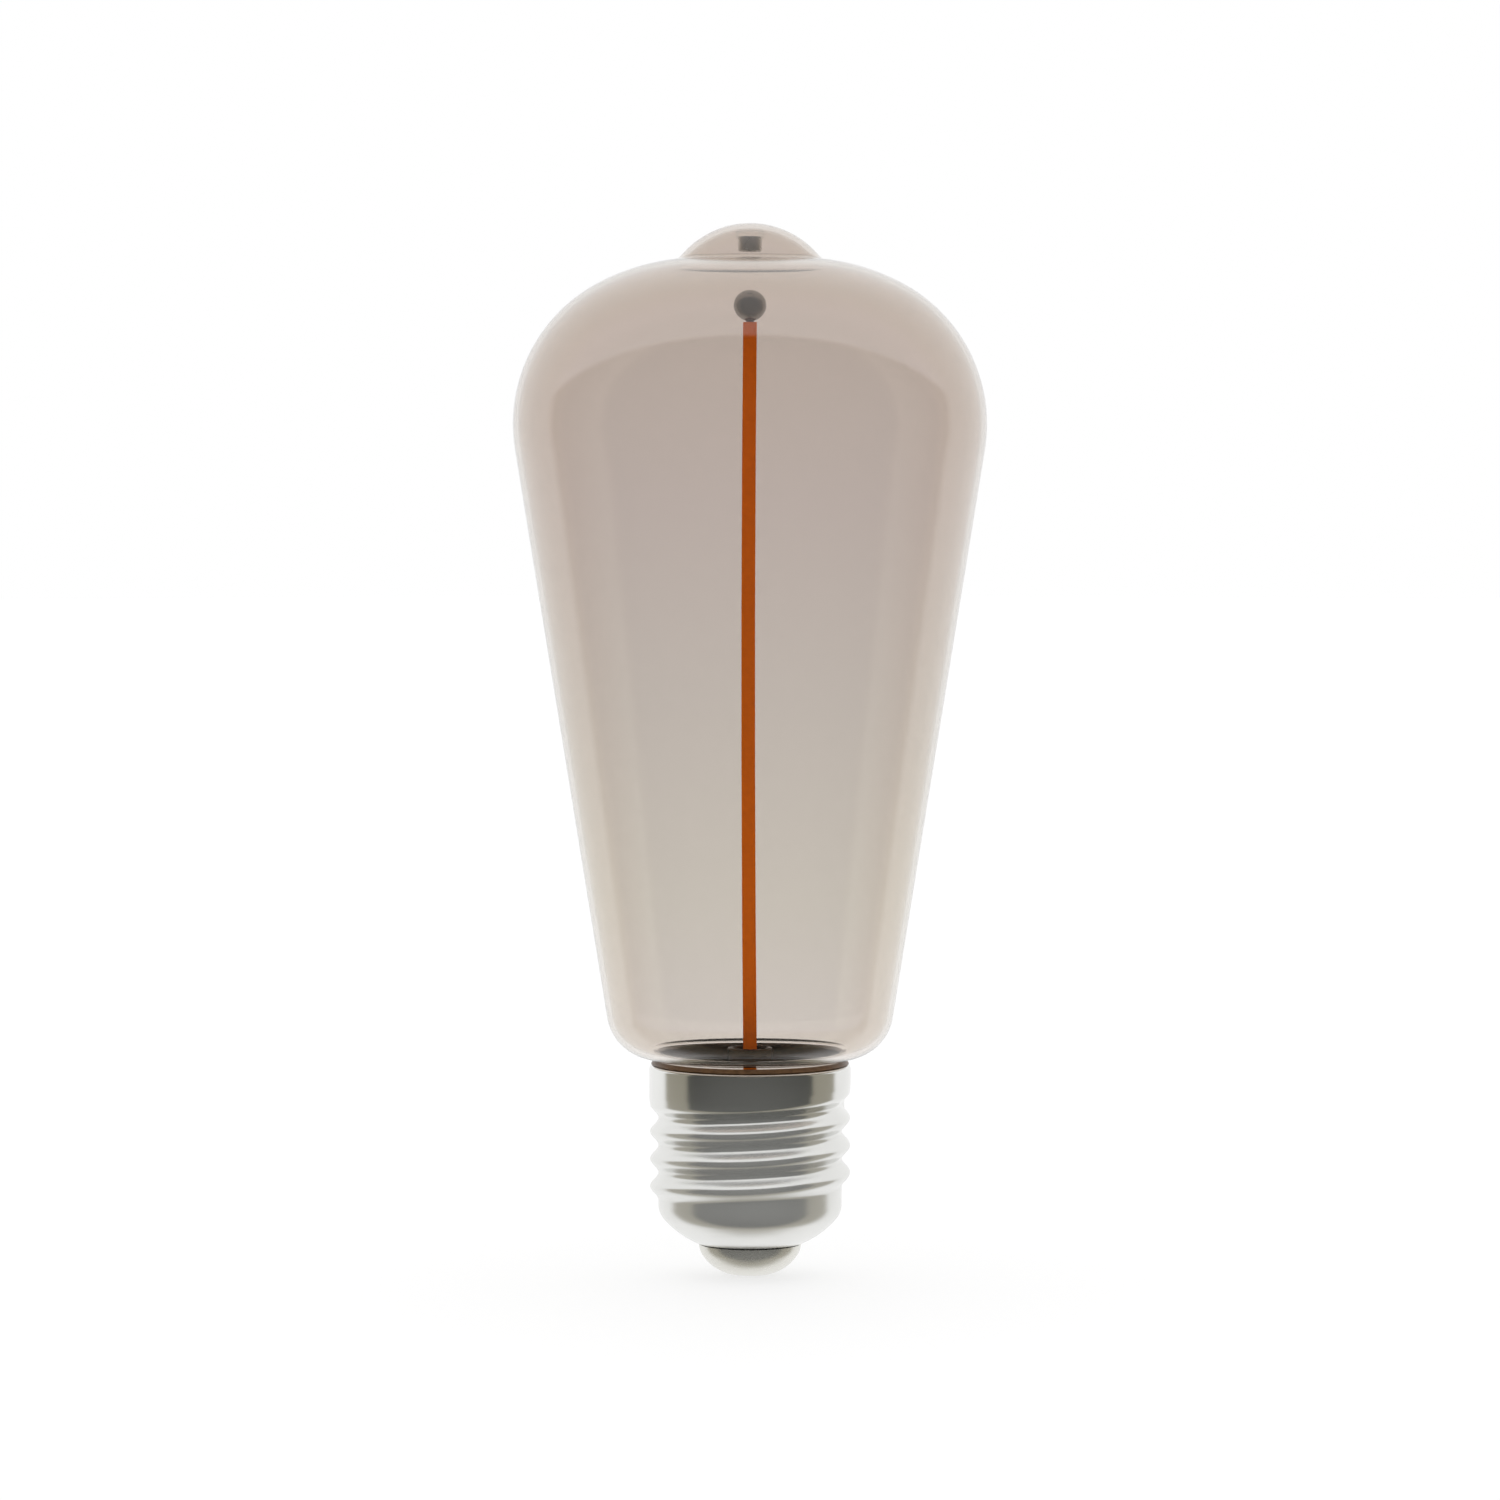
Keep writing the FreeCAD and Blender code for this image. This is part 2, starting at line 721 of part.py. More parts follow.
def cap_base_ends(inset):
    """Where the two arcs meet, and the lip, for the outside or, inset, the inside."""
    (bend_x, bend_z), (wide_x, wide_z) = cap_base()
    radius = S["cap_base_r"] - inset
    share = radius / (S["cap_base_r"] - S["cap_bend_r"])
    meet = (wide_x + (bend_x - wide_x) * share, wide_z + (bend_z - wide_z) * share)
    drop = S["lip_z"] - wide_z
    lip = (wide_x + (radius * radius - drop * drop).root(), S["lip_z"])
    return meet, lip


def thread_ridge(sketch, inset, turns_below):
    """One rolled thread wave: a crest arc between two root arcs, cut just above the root."""
    pitch, depth = S["thread_pitch"], S["thread_depth"]
    wave_r = (pitch * pitch / 4 + depth * depth) / (depth * 4)
    crest_r = S["crest_r"] - inset
    crest_arc, root_arc = wave_r - inset, wave_r + inset
    crest_centre = crest_r - crest_arc
    root_centre = S["crest_r"] - depth + wave_r
    foot_r = S["crest_r"] - depth - inset + S["thread_foot"]
    middle = S["thread_phase_z"] - pitch * turns_below
    reach = root_centre - foot_r
    foot_half = pitch / 2 - (root_arc * root_arc - reach * reach).root()
    flank_r = crest_centre + (root_centre - crest_centre) * crest_arc / (wave_r * 2)
    flank_half = pitch * crest_arc / (wave_r * 4)
    base_r = foot_r - S["shell_wall"] / 2
    draw_profile(sketch, [
        (base_r, middle - foot_half),
        (foot_r, middle - foot_half), Arc(root_arc, 1),
        (flank_r, middle - flank_half), Arc(crest_arc, -1),
        (flank_r, middle + flank_half), Arc(root_arc, 1),
        (foot_r, middle + foot_half),
        (base_r, middle + foot_half),
    ])


def screw(body, kind, sketch, turns):
    """Sweep a thread profile up the cap; the cap's thread is right-handed."""
    helix = body.newObject(f"PartDesign::{kind}", f"{sketch.Name}_helix")
    helix.Profile = sketch
    helix.ReferenceAxis = (sketch, ["V_Axis"])
    helix.Mode = "pitch-height-angle"
    helix.Pitch = S["thread_pitch"].value
    helix.setExpression("Pitch", S["thread_pitch"].text)
    height = S["thread_pitch"] * turns
    helix.Height = height.value
    helix.setExpression("Height", height.text)
    helix.Angle = 0
    return helix


def cap_shell():
    root_r = S["crest_r"] - S["thread_depth"]
    wall, curl = S["shell_wall"], S["rim_curl_r"]
    curl_r = S["skirt_r"] - curl
    meet, lip = cap_base_ends(as_size(0))
    meet_in, lip_in = cap_base_ends(wall)
    body = new_body("cap_shell")
    outside = new_sketch(body, "shell_outside")
    draw_profile(outside, [
        (0, S["lip_z"]),
        (root_r, S["lip_z"]),
        (root_r, S["skirt_foot_z"]),
        (S["skirt_r"], S["skirt_low_z"]),
        (S["skirt_r"], S["rim_z"] - curl), Arc(curl, -1),
        (curl_r, S["rim_z"]),
        (0, S["rim_z"]),
    ])
    turn(body, "Revolution", outside)
    ridge = new_sketch(body, "thread_outside")
    thread_ridge(ridge, as_size(0), 3)
    screw(body, "AdditiveHelix", ridge, S["thread_turns"])
    # one cut rounds the base and fades the thread out above it
    base = new_sketch(body, "shell_base")
    draw_profile(base, [
        (lip[0], S["lip_z"] - S["thread_pitch"]),
        lip, Arc(S["cap_base_r"], -1),
        meet, Arc(S["cap_bend_r"], -1),
        (root_r, S["cap_bend_z"]),
        (root_r, S["fade_low_z"]),
        (S["crest_r"], S["fade_top_z"]),
        (S["crest_r"] + 1, S["fade_top_z"]),
        (S["crest_r"] + 1, S["lip_z"] - S["thread_pitch"]),
    ])
    turn(body, "Groove", base)
    inside = new_sketch(body, "shell_inside")
    draw_profile(inside, [
        (0, S["lip_z"] - 1),
        (lip_in[0], S["lip_z"] - 1),
        lip_in, Arc(S["cap_base_r"] - wall, -1),
        meet_in, Arc(S["cap_bend_r"] - wall, -1),
        (root_r - wall, S["cap_bend_z"]),
        (root_r - wall, S["skirt_foot_z"] + wall),
        (S["skirt_r"] - wall, S["skirt_low_z"] + wall),
        (S["skirt_r"] - wall, S["rim_z"] - curl), Arc(curl - wall, -1),
        (curl_r, S["rim_z"] - wall),
        (curl_r, S["rim_z"] + 1),
        (0, S["rim_z"] + 1),
    ])
    turn(body, "Groove", inside)
    groove = new_sketch(body, "thread_inside")
    thread_ridge(groove, wall, 1)
    screw(body, "SubtractiveHelix", groove, S["groove_turns"])
    return keep(body)


def cap_insulator():
    """Moulded plug in the shell's base, just showing between the shell and the contact."""
    _, lip_in = cap_base_ends(S["shell_wall"])
    _, (wide_x, wide_z) = cap_base()
    gap = S["seal_gap"]
    radius = S["cap_base_r"] - S["shell_wall"] - gap
    reach = S["insulator_top_r"] - wide_x
    plug_z = wide_z - (radius * radius - reach * reach).root()
    return keep(turned_body("cap_insulator", [
        (S["shank_r"] + gap, S["contact_height"]),
        (lip_in[0] - gap, S["contact_height"]),
        (lip_in[0] - gap, S["lip_z"]),
        (S["insulator_top_r"], plug_z),
        (S["insulator_top_r"], S["insulator_top_z"]),
        (S["shank_r"] + gap, S["insulator_top_z"]),
    ]))


def dome_arcs(inset):
    """Flat edge, bend and rim of the contact's dome, with the radii of its two arcs."""
    flat, side = S["contact_flat_r"], S["contact_side_r"]
    across = S["contact_r"] - flat - side
    height = S["contact_height"]
    dome = (across * across + height * height - side * side) / ((height - side) * 2)
    share = (dome - inset) / (dome - side)
    meet = (flat + across * share, dome + (height - dome) * share)
    return (flat, inset), dome - inset, meet, side - inset, (S["contact_r"] - inset, height)


def centre_contact():
    """Domed contact with a flat pad, and the shank that takes the live wire."""
    wall = S["contact_wall"]
    flat, dome, meet, side, rim = dome_arcs(as_size(0))
    flat_in, dome_in, meet_in, side_in, rim_in = dome_arcs(wall)
    return keep(turned_body("centre_contact", [
        (0, 0),
        flat, Arc(dome, -1),
        meet, Arc(side, -1),
        rim,
        rim_in, Arc(side_in, 1),
        meet_in, Arc(dome_in, 1),
        flat_in,
        (S["shank_r"], S["shank_top_z"]),
        (0, S["shank_top_z"]),
    ]))


def basing_cement():
    """Resin between the neck and the skirt, with the bead squeezed out over the rim."""
    gap = S["seal_gap"]
    outer = S["skirt_r"] - S["shell_wall"] - gap
    inner = S["neck_r"] + gap
    throat = S["skirt_r"] - S["rim_curl_r"] - gap
    # the bead's top lies against the glass where the neck flares out
    flare_r = S["neck_fillet_r"] - gap
    flare_x, flare_z = S["neck_r"] + S["neck_fillet_r"], S["neck_fillet_z"]
    reach = flare_x - S["bead_high_r"]
    bead_top = flare_z + (flare_r * flare_r - reach * reach).root()
    return keep(turned_body("basing_cement", [
        (inner, S["cement_low_z"]),
        (outer, S["cement_low_z"]),
        (outer, S["cement_top_z"]),
        (throat, S["cement_top_z"]),
        (throat, S["rim_z"] + gap),
        (S["bead_r"], S["rim_z"] + gap),
        (S["bead_high_r"], bead_top), Arc(flare_r, -1),
        (inner, flare_z),
    ]))


def insulating_sleeve():
    """Thin liner between the shell and the driver, with a ledge for the board."""
    bore = S["sleeve_r"] - S["sleeve_wall"]
    return keep(turned_body("insulating_sleeve", [
        (S["sleeve_ledge_r"], S["insulator_top_z"]),
        (S["sleeve_taper_r"], S["insulator_top_z"]),
        (S["sleeve_r"], S["sleeve_taper_z"]),
        (S["sleeve_r"], S["sleeve_top_z"]),
        (bore, S["sleeve_top_z"]),
        (bore, S["board_low_z"]),
        (S["sleeve_ledge_r"], S["board_low_z"]),
    ]))


# ---------------------------------------------------------------- driver

def driver_board():
    body = new_body("driver_board")
    outline = new_sketch(body, "board_outline", "XY_Plane", S["board_low_z"])
    draw_circle(outline, 0, 0, S["board_r"])
    extrude(body, "Pad", outline, S["board_thick"])
    return keep(body)


def round_part(name, x, y, corners):
    """Upright turned component standing on the board at (x, y)."""
    body = turned_body(name, corners)
    body.setExpression("Placement.Base.x", as_size(x).text)
    body.setExpression("Placement.Base.y", as_size(y).text)
    body.setExpression("Placement.Base.z", (S["board_low_z"] + S["board_thick"]).text)
    return keep(body)


def filter_capacitor():
    """Aluminium can with the rolled crimp near its foot and a scored top."""
    r, top, edge = S["capacitor_r"], S["capacitor_length"], S["can_edge"]
    low, depth = S["crimp_low"], S["crimp_depth"]
    high = low + S["crimp_height"]
    vent, vent_z = S["vent_r"], top - S["vent_depth"]
    return round_part("filter_capacitor", S["capacitor_x"], 0, [
        (0, 0), (r, 0), (r, low), (r - depth, low + depth), (r - depth, high - depth), (r, high),
        (r, top - edge), (r - edge, top), (vent, top), (vent, vent_z), (0, vent_z),
    ])


def inductor():
    r, top, flange = S["inductor_r"], S["inductor_length"], S["inductor_flange"]
    wound_r = r - S["winding_depth"]
    return round_part("inductor", S["inductor_x"], S["inductor_y"], [
        (0, 0), (r, 0), (r, flange), (wound_r, flange), (wound_r, top - flange),
        (r, top - flange), (r, top), (0, top),
    ])


def pinned_package(name, x, y, low_z, height, pins, pin_z):
    """Moulded package with a row of flat pins along its two X sides."""
    length, width = S["chip_body_x"], S["chip_body_y"]
    pieces = [box(f"{name}_body", (x - length / 2, y - width / 2, low_z), (length, width, height))]
    for side in (-1, 1):
        for number in range(pins):
            along = x + S["pin_pitch"] * (number - (pins - 1) / 2) - S["pin_width"] / 2
            edge = width / 2 if side > 0 else -(width / 2) - S["pin_reach"]
            pieces.append(box(
                f"{name}_pin_{len(pieces)}", (along, y + edge, pin_z),
                (S["pin_width"], S["pin_reach"], S["pin_thick"])))
    return joined(name, pieces)


def driver_ic():
    top = S["board_low_z"] + S["board_thick"]
    return pinned_package(
        "driver_ic", S["driver_ic_x"], S["driver_ic_y"], top, S["chip_body_z"], 4, top)


def bridge_rectifier():
    low = S["board_low_z"] - S["bridge_z"]
    pin_z = S["board_low_z"] - S["pin_thick"]
    return pinned_package(
        "bridge_rectifier", S["bridge_x"], S["bridge_y"], low, S["bridge_z"], 2, pin_z)


def fusible_resistor():
    """Barrel resistor lying under the board, with a wider metal cap at each end."""
    half = S["resistor_length"] / 2
    inner = half - S["end_cap_length"]
    r = S["resistor_r"]
    barrel_r = r - S["end_cap_rise"]
    body = new_body("fusible_resistor")
    outline = new_sketch(body, "resistor_profile")
    draw_profile(outline, [
        (-half, 0), (-half, r), (-inner, r), (-inner, barrel_r),
        (inner, barrel_r), (inner, r), (half, r), (half, 0),
    ])
    barrel = body.newObject("PartDesign::Revolution", "resistor_barrel")
    barrel.Profile = outline
    barrel.ReferenceAxis = (outline, ["H_Axis"])
    barrel.Angle = 360
    body.setExpression("Placement.Base.x", S["resistor_x"].text)
    body.setExpression("Placement.Base.y", S["resistor_y"].text)
    body.setExpression("Placement.Base.z", (S["board_low_z"] - r).text)
    return keep(body)


def radio_module():
    """Upright radio board with its printed aerial end left clear of the shield."""
    low = S["board_low_z"] + S["board_thick"]
    width, thick = S["radio_width"], S["radio_thick"]
    pieces = [box(
        "radio_board", (S["radio_x"] - width / 2, S["radio_y"] - thick / 2, low),
        (width, thick, S["radio_height"]))]
    for number in range(int(S["aerial_rows"].value)):
        left = S["radio_x"] - S["aerial_length"] / 2 + S["aerial_step"] * number
        height = low + S["radio_height"] - S["aerial_drop"] + S["aerial_pitch"] * number
        pieces.append(box(
            f"aerial_{number}", (left, S["radio_y"] + thick / 2, height),
            (S["aerial_length"], S["aerial_depth"], S["aerial_width"])))
    return joined("radio_module", pieces)


def radio_shield():
    low = S["board_low_z"] + S["board_thick"] + S["shield_foot"]
    left = S["radio_x"] - S["shield_width"] / 2
    back = S["radio_y"] - S["radio_thick"] / 2 - S["shield_depth"]
    wall = S["shield_wall"]
    can = box(
        "shield_can", (left, back, low), (S["shield_width"], S["shield_depth"], S["shield_height"]))
    hollow = box(
        "shield_hollow", (left + wall, back + wall, low + wall),
        (S["shield_width"] - wall * 2, S["shield_depth"], S["shield_height"] - wall * 2))
    shield = doc.addObject("Part::Cut", "radio_shield")
    shield.Label = "radio_shield"
    shield.Base = can
    shield.Tool = hollow
    return keep(shield)


def live_wire():
    """Wire from the contact's shank up to the underside of the board."""
    low = S["shank_top_z"] + S["seal_gap"]
    return swept_wire("live_wire", [
        (0, low), (0, S["board_low_z"] - S["seal_gap"]),
    ], S["feed_r"], (as_size(0), low))


def neutral_wire():
    """Wire from the board over the sleeve's edge to the inside of the shell."""
    low = S["board_low_z"] + S["board_thick"] + S["seal_gap"]
    high = S["sleeve_top_z"] + S["neutral_rise"]
    bend = S["lead_bend_r"]
    return swept_wire("neutral_wire", [
        (S["neutral_x"], low),
        (S["neutral_x"], high - bend), Arc(bend, 1),
        (S["neutral_x"] + bend, high),
        (S["sleeve_r"], high),
    ], S["feed_r"], (S["neutral_x"], low))


# ---------------------------------------------------------------- build

glass_envelope()
glass_stem()
exhaust_tube()
lead_wire("lead_wire_left", -1)
lead_wire("lead_wire_right", 1)
magnet()
magnet_adhesive()
filament_strip()
led_chips()
phosphor_front()
phosphor_back()
foot_terminal("foot_terminal_left", -1)
foot_terminal("foot_terminal_right", 1)
top_tab()
filament_ball()
cap_shell()
cap_insulator()
centre_contact()
basing_cement()
insulating_sleeve()
driver_board()
filter_capacitor()
inductor()
driver_ic()
bridge_rectifier()
fusible_resistor()
radio_module()
radio_shield()
live_wire()
neutral_wire()
doc.recompute()

for item in doc.Objects:
    if "Invalid" in item.State or "Error" in item.State:
        raise RuntimeError(f"{item.Label} did not build: {item.State}")

os.makedirs("parts", exist_ok=True)
for node in nodes:
    if node.Shape.isNull() or not node.Shape.isValid():
        raise RuntimeError(f"{node.Label} has no valid shape")
    node.Shape.exportStep(f"parts/{node.Label}.step")
    print(f"{node.Label}: {node.Shape.Volume:.3f} mm3, {len(node.Shape.Solids)} solid(s)")
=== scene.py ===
import math
import bmesh
import bpy
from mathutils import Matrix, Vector


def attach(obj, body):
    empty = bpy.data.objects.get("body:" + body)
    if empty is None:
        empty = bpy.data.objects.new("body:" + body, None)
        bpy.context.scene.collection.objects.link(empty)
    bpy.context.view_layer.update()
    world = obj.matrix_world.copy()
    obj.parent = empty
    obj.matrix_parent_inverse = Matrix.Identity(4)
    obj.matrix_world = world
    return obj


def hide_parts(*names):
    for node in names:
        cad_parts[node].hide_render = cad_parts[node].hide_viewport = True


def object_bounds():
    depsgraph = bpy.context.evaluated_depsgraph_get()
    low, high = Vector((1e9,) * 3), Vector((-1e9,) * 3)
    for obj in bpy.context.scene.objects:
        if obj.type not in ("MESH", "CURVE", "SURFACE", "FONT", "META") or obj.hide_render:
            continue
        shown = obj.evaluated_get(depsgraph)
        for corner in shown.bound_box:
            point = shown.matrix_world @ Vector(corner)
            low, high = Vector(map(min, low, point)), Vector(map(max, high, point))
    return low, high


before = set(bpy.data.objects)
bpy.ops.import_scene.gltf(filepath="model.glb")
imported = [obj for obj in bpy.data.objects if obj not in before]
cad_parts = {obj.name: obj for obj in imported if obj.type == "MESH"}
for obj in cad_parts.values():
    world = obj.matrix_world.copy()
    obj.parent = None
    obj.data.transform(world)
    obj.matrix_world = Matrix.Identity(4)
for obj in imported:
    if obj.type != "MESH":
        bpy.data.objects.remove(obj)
cad_low, cad_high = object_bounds()
MM = 0.001

# The three surfaces that mirror or bend light, in millimetres. Their sizes are the CAD model's,
# except the glass neck's hidden foot and where the thread starts and runs into the skirt.
SEGMENTS = 192
SHARP_ANGLE = math.radians(35)
GLASS_TOP, GLASS_WALL = cad_high[2] / MM, 0.7
CROWN_R, FOLD_R, FOLD_X = 11.8, 1.6, 10.2
SHOULDER_R, SIDE_R = 28.4, 20.9
BELLY_R, BELLY_Z = cad_high[0] / MM, 112.2
CONE_ANGLE = math.radians(9.1)
HEEL_R, NECK_FILLET_R, NECK_FILLET_Z = 6.3, 0.85, 27.95
NECK_R, NECK_FOOT = 12.4, 23.9

CREST_R, THREAD_DEPTH, PITCH, CREST_Z = 13.21, 1.1, 3.629, 17.2
ROOT_R = CREST_R - THREAD_DEPTH
SKIRT_R, SKIRT_LOW, RIM_Z, CURL_R = 13.3, 25.8, 28.0, 0.7
# in turns: where the thread starts, where it is full, and how far round its top groove runs out
THREAD_START, THREAD_FULL, RUN_OUT = -1.95, -1.55, 0.06
# how far over its last crest the shell is as wide as the skirt, in pitches
SKIRT_RISE = 0.25
# the most between two rings of the threaded stretch, outside and inside
OUTER_STEP, INNER_STEP = 0.09, 0.2
SHELL_WALL, LIP_R, LIP_Z = 0.3, 7.15, 4.32
BEND_R, BEND_Z, BASE_R = 2.8, 9.3, 12.0

CONTACT_R, CONTACT_HEIGHT, CONTACT_FLAT = 6.75, 4.1, 1.5
CONTACT_SIDE_R, CONTACT_WALL = 2.6, 0.5
SHANK_TOP = 8.6


# ---------------------------------------------------------------- outlines

def direction(start, end):
    """Angle in degrees of the line from one point of an outline to another."""
    return math.degrees(math.atan2(end[1] - start[1], end[0] - start[0]))


def arc(centre, radius, start, end, step=3.0):
    """Points along an arc of an outline, from one angle to another in degrees."""
    count = max(2, math.ceil(abs(end - start) / step))
    points = []
    for index in range(count + 1):
        angle = math.radians(start + (end - start) * index / count)
        points.append((centre[0] + radius * math.cos(angle), centre[1] + radius * math.sin(angle)))
    return points


def line(start, end, count):
    """Points along a straight stretch of an outline."""
    return [tuple(a + (b - a) * index / count for a, b in zip(start, end))
            for index in range(count + 1)]


def circles_meet(first, first_r, second, second_r, side):
    """Where two circles cross, left (+1) or right (-1) of the line between their centres."""
    apart = math.dist(first, second)
    along = (first_r ** 2 - second_r ** 2 + apart ** 2) / (2 * apart)
    across = math.sqrt(first_r ** 2 - along ** 2) * side
    ux, uz = (second[0] - first[0]) / apart, (second[1] - first[1]) / apart
    return (first[0] + ux * along - uz * across, first[1] + uz * along + ux * across)


def envelope_outline(inset):
    """The glass from the crown's top to the neck's foot, moved inwards by the inset."""
    crown = (0.0, GLASS_TOP - CROWN_R)
    fold = (FOLD_X, crown[1] + math.sqrt((CROWN_R + FOLD_R) ** 2 - FOLD_X ** 2))
    side = (BELLY_R - SIDE_R, BELLY_Z)
    shoulder = circles_meet(fold, SHOULDER_R + FOLD_R, side, SHOULDER_R - SIDE_R, -1)
    neck = (NECK_R + NECK_FILLET_R, NECK_FILLET_Z)
    # the heel touches the cone from inside and the neck's fillet from outside
    out_x, out_z = math.cos(CONE_ANGLE), -math.sin(CONE_ANGLE)
    inner = SIDE_R - HEEL_R
    start = (side[0] + out_x * inner, side[1] + out_z * inner)
    down_x, down_z = out_z, -out_x
    gap_x, gap_z = neck[0] - start[0], neck[1] - start[1]
    along = gap_x * down_x + gap_z * down_z
    reach = math.sqrt((HEEL_R + NECK_FILLET_R) ** 2 - (gap_x ** 2 + gap_z ** 2 - along ** 2))
    heel = (start[0] + down_x * (along - reach), start[1] + down_z * (along - reach))
    lean = -math.degrees(CONE_ANGLE)
    points = arc(crown, CROWN_R - inset, 90, direction(crown, fold))
    points += arc(fold, FOLD_R + inset, direction(fold, crown) % 360, direction(fold, shoulder) % 360)[1:]
    points += arc(shoulder, SHOULDER_R - inset, direction(shoulder, fold), direction(shoulder, side))[1:]
    points += arc(side, SIDE_R - inset, direction(shoulder, side), lean)[1:]
    heel_arc = arc(heel, HEEL_R - inset, lean, direction(heel, neck))
    points += line(points[-1], heel_arc[0], 24)[1:] + heel_arc[1:]
    points += arc(neck, NECK_FILLET_R + inset, direction(neck, heel), 180, 6)[1:]
    points += line(points[-1], (NECK_R - inset, NECK_FOOT), 4)[1:]
    return points


def cap_base(inset):
    """The cap's base from its lip up to the foot of the thread."""
    bend = (ROOT_R - BEND_R, BEND_Z)
    wide = circles_meet(bend, BASE_R - BEND_R, (LIP_R, LIP_Z), BASE_R, -1)
    radius = BASE_R - inset
    lip = (wide[0] + math.sqrt(radius ** 2 - (LIP_Z - wide[1]) ** 2), LIP_Z)
    points = arc(wide, radius, direction(wide, lip), direction(wide, bend), 1.5)
    return points + arc(bend, BEND_R - inset, direction(wide, bend), 0)[1:]


def contact_outline(inset):
    """The contact's dome from its flat pad up to its rim."""
    across = CONTACT_R - CONTACT_FLAT - CONTACT_SIDE_R
    height = CONTACT_HEIGHT
    dome_r = (across ** 2 + height ** 2 - CONTACT_SIDE_R ** 2) / (2 * (height - CONTACT_SIDE_R))
    dome, side = (CONTACT_FLAT, dome_r), (CONTACT_R - CONTACT_SIDE_R, height)
    points = arc(dome, dome_r - inset, -90, direction(dome, side))
    return points + arc(side, CONTACT_SIDE_R - inset, direction(dome, side), 0)[1:]


def ramp_between(value, low, high, start, end):
    """From start to end in a straight line, as the value goes from low to high."""
    share = min(1.0, max(0.0, (value - low) / (high - low)))
    return start + (end - start) * share


def thread_radius(turn, z):
    """The shell's outer radius at a height, a share of a turn round from +X."""
    rows = (z - CREST_Z) / PITCH - turn
    crest = round(rows)
    # the thread swells out of the plain foot as it sets off up the shell
    rise = ramp_between(crest + turn, THREAD_START, THREAD_FULL, 0.0, 1.0)
    rise = rise * rise * (3 - 2 * rise)
    swell = (1 + math.cos(math.tau * (rows - crest))) / 2
    radius = ROOT_R + THREAD_DEPTH * swell * rise
    # the last crest runs into the skirt, and the groove over it runs out behind +X
    top = 2 if turn < 0.5 else 1
    if rows > top:
        radius = ramp_between(rows, top, top + SKIRT_RISE, CREST_R, SKIRT_R)
    if turn < 0.5 and rows > 1:
        edge = ramp_between(rows, 1, 1 + SKIRT_RISE, CREST_R, SKIRT_R)
        radius = max(radius, ramp_between(turn, 0.0, RUN_OUT, ROOT_R, edge))
    return radius


# ---------------------------------------------------------------- meshes

def ring_mesh(name, rings):
    """Closed surface through rings of (radius or radii, height) in millimetres, last to first."""
    vertices, rows, faces = [], [], []
    for radius, z in rings:
        radii = radius if isinstance(radius, list) else [radius] * SEGMENTS
        if max(radii) < 1e-6:
            rows.append([len(vertices)] * SEGMENTS)
            vertices.append((0.0, 0.0, z * MM))
            continue
        rows.append(list(range(len(vertices), len(vertices) + SEGMENTS)))
        for index, value in enumerate(radii):
            angle = math.tau * index / SEGMENTS
            vertices.append((value * MM * math.cos(angle), value * MM * math.sin(angle), z * MM))
    for number, row in enumerate(rows):
        after = rows[(number + 1) % len(rows)]
        for index in range(SEGMENTS):
            other = (index + 1) % SEGMENTS
            corners = [row[index], row[other], after[other], after[index]]
            face = list(dict.fromkeys(corners))
            if len(face) > 2:
                faces.append(face)
    mesh = bpy.data.meshes.new(name)
    mesh.from_pydata(vertices, [], faces)
    mesh.validate()
    tidy = bmesh.new()
    tidy.from_mesh(mesh)
    bmesh.ops.recalc_face_normals(tidy, faces=tidy.faces)
    tidy.to_mesh(mesh)
    tidy.free()
    mesh.polygons.foreach_set("use_smooth", [True] * len(mesh.polygons))
    mesh.set_sharp_from_angle(angle=SHARP_ANGLE)
    piece = bpy.data.objects.new(name, mesh)
    bpy.context.scene.collection.objects.link(piece)
    return piece


def stand_in(piece, node):
    """The finer piece rides, and takes its finish, as the CAD node that it replaces."""
    piece.data.materials.append(LOOKS[node])
    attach(piece, "bulb")
    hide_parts(node)


def thread_rings(inset, low, high, step):
    """Rings of the threaded stretch, moved inwards by the inset, no further apart than the step."""
    rings = []
    count = math.ceil(abs(high - low) / step)
    for index in range(count + 1):
        z = low + (high - low) * index / count
        rings.append(([thread_radius(part / SEGMENTS, z) - inset for part in range(SEGMENTS)], z))
    return rings


def fine_cap_shell():
    top = RIM_Z - CURL_R
    curl = (SKIRT_R - CURL_R, top)
    rings = cap_base(0)
    rings += thread_rings(0, BEND_Z, SKIRT_LOW, OUTER_STEP)[1:]
    rings += line((SKIRT_R, SKIRT_LOW), (SKIRT_R, top), 6)[1:]
    rings += arc(curl, CURL_R, 0, 90, 9)[1:]
    rings += arc(curl, CURL_R - SHELL_WALL, 90, 0, 9)
    rings += line((SKIRT_R - SHELL_WALL, top), (SKIRT_R - SHELL_WALL, SKIRT_LOW), 6)[1:]
    rings += thread_rings(SHELL_WALL, SKIRT_LOW, BEND_Z, INNER_STEP)[1:]
    rings += cap_base(SHELL_WALL)[::-1][1:]
    return ring_mesh("cap_shell_fine", rings)


def fine_contact():
    rings = [(0.0, 0.0)] + contact_outline(0) + contact_outline(CONTACT_WALL)[::-1]
    rings += [(CONTACT_FLAT, SHANK_TOP), (0.0, SHANK_TOP)]
    return ring_mesh("centre_contact_fine", rings)


def fine_glass():
    return ring_mesh("glass_envelope_fine", envelope_outline(0) + envelope_outline(GLASS_WALL)[::-1])


# ---------------------------------------------------------------- materials

REFRACTIVE_INDEX = 1.5
# heights of the bumps in metres
SURFACE_BUMP, PLATING_BUMP = 0.00002, 0.00001


def new_material(name):
    """A node material, with its nodes, its links and its main shader."""
    material = bpy.data.materials.new(name)
    material.use_nodes = True
    nodes = material.node_tree.nodes
    shader = next(node for node in nodes if node.type == "BSDF_PRINCIPLED")
    return material, nodes, material.node_tree.links, shader


